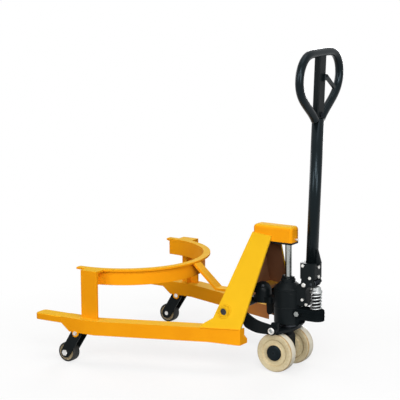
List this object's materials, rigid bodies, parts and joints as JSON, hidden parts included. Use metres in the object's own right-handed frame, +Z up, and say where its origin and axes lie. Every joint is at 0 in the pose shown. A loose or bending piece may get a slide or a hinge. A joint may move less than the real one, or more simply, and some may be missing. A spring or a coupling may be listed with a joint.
{
  "type": "drum truck",
  "caption": "Hand-pumped drum truck with a half-round saddle, splayed legs on load rollers, a leaning mast and a steering pump with a tall loop handle.",
  "frame": {"origin": "on the floor under the middle of the truck's box", "axes": "+X towards the toes and the drum, +Y to the truck's left, +Z up"},
  "size_m": [1.018, 0.754, 1.1714],
  "materials": {
    "yellow": "gloss paint, orange yellow",
    "yellow_plate": "gloss paint, bright yellow",
    "black": "satin black paint",
    "cast": "black painted casting",
    "chrome": "polished",
    "zinc": "zinc plated",
    "bearing": "oiled steel",
    "cream": "cast nylon, satin",
    "spring": "bright wire"
  },
  "bodies": {
    "frame": {"ring_flange": "yellow", "ring_band": "yellow", "ring_strut": "yellow", "cross_plate": "yellow", "front_plate": "yellow", "head_cap": "yellow", "crosshead_plate": "cast", "head_screw": "zinc", "rocker_shaft": "bearing", "dome_housing": "cast", "dome_plug": "zinc", "ram": "chrome", "fork_pins": "zinc", "left_leg": "yellow", "right_leg": "yellow", "left_toe": "yellow", "right_toe": "yellow", "left_post": "yellow", "right_post": "yellow", "left_side_plate": "yellow_plate", "right_side_plate": "yellow_plate", "left_boss": "yellow", "right_boss": "yellow"},
    "bracket": {"thrust_bracket": "cast", "thrust_bearing": "bearing", "link_pins": "zinc"},
    "pump": {"pump_body": "cast", "valve_plugs": "zinc", "base_tongue": "cast", "tongue_bolts": "zinc", "wheel_crown": "cast", "wheel_axle": "zinc", "plunger_spring": "spring"},
    "plunger": {"plunger": "zinc", "spring_cap": "zinc"},
    "handle": {"handle_yoke": "black", "yoke_bolts": "zinc", "pivot_pin": "zinc", "cam_axle": "zinc", "handle_tube": "black", "handle_loop": "black", "centre_bar": "black", "loop_bolt": "zinc", "lever_pin": "zinc"},
    "cam": {"cam_roller": "bearing"},
    "lever": {"control_lever": "black"},
    "left_wheel": {"left_steer_wheel": "cream", "left_hub_cap": "cast"},
    "right_wheel": {"right_steer_wheel": "cream", "right_hub_cap": "cast"},
    "rocker": {"rocker": "cast", "link_caps": "zinc"},
    "left_rod": {"left_push_rod": "cast"},
    "right_rod": {"right_push_rod": "cast"},
    "left_fork": {"left_roller_fork": "cast", "left_roller_axle": "zinc"},
    "right_fork": {"right_roller_fork": "cast", "right_roller_axle": "zinc"},
    "left_roller": {"left_load_roller": "cream"},
    "right_roller": {"right_load_roller": "cream"}
  },
  "joints": [
    {"name": "lift", "type": "slide", "parent": "frame", "child": "bracket", "axis": [0, 0, 1], "range_m": [0, 0.088]},
    {"name": "steer", "type": "hinge", "parent": "bracket", "child": "pump", "pos_m": [-0.364, 0, 0.2], "axis": [0, 0, 1], "range_deg": [-90, 90]},
    {"name": "left_wheel_roll", "type": "hinge", "parent": "pump", "child": "left_wheel", "pos_m": [-0.353, 0.0655, 0.072], "axis": [0, 1, 0], "continuous": true},
    {"name": "right_wheel_roll", "type": "hinge", "parent": "pump", "child": "right_wheel", "pos_m": [-0.353, -0.0655, 0.072], "axis": [0, 1, 0], "continuous": true},
    {"name": "handle", "type": "hinge", "parent": "pump", "child": "handle", "pos_m": [-0.445, 0, 0.325], "axis": [0, -1, 0], "range_deg": [0, 57], "stiffness_Nm_per_rad": 30, "springref_deg": -22.92},
    {"name": "plunger_press", "type": "slide", "parent": "pump", "child": "plunger", "axis": [0, 0, -1], "range_m": [0, 0.0296], "deforming": ["plunger_spring"]},
    {"name": "cam_roll", "type": "hinge", "parent": "handle", "child": "cam", "pos_m": [-0.474, 0, 0.3303], "axis": [0, 1, 0], "continuous": true},
    {"name": "lever_tip", "type": "hinge", "parent": "handle", "child": "lever", "pos_m": [-0.50217, -0.014, 1.07486], "axis": [0.9992, 0, 0.0393], "range_deg": [-20, 0]},
    {"name": "rocker_turn", "type": "hinge", "parent": "frame", "child": "rocker", "pos_m": [-0.207, 0, 0.231], "axis": [0, 1, 0], "range_deg": [0, 31.39]},
    {"name": "left_rod_slide", "type": "slide", "parent": "frame", "child": "left_rod", "axis": [-0.9478, -0.319, 0], "range_m": [0, 0.03913]},
    {"name": "right_rod_slide", "type": "slide", "parent": "frame", "child": "right_rod", "axis": [-0.9478, 0.319, 0], "range_m": [0, 0.03913]},
    {"name": "left_fork_fold", "type": "hinge", "parent": "frame", "child": "left_fork", "pos_m": [0.325, 0.341, 0.118], "axis": [0, -1, 0], "range_deg": [0, 62.01]},
    {"name": "right_fork_fold", "type": "hinge", "parent": "frame", "child": "right_fork", "pos_m": [0.325, -0.341, 0.118], "axis": [0, -1, 0], "range_deg": [0, 62.01]},
    {"name": "left_roller_roll", "type": "hinge", "parent": "left_fork", "child": "left_roller", "pos_m": [0.376, 0.341, 0.037], "axis": [0, 1, 0], "continuous": true},
    {"name": "right_roller_roll", "type": "hinge", "parent": "right_fork", "child": "right_roller", "pos_m": [0.376, -0.341, 0.037], "axis": [0, 1, 0], "continuous": true}
  ],
  "couplings": [
    {"joint": "plunger_press", "follows": "handle", "m_per_rad": 0.029703},
    {"joint": "rocker_turn", "follows": "lift", "rad_per_m": 6.2241},
    {"joint": "left_rod_slide", "follows": "lift", "ratio": 0.44461},
    {"joint": "right_rod_slide", "follows": "lift", "ratio": 0.44461},
    {"joint": "left_fork_fold", "follows": "lift", "rad_per_m": 12.296},
    {"joint": "right_fork_fold", "follows": "lift", "rad_per_m": 12.296}
  ]
}
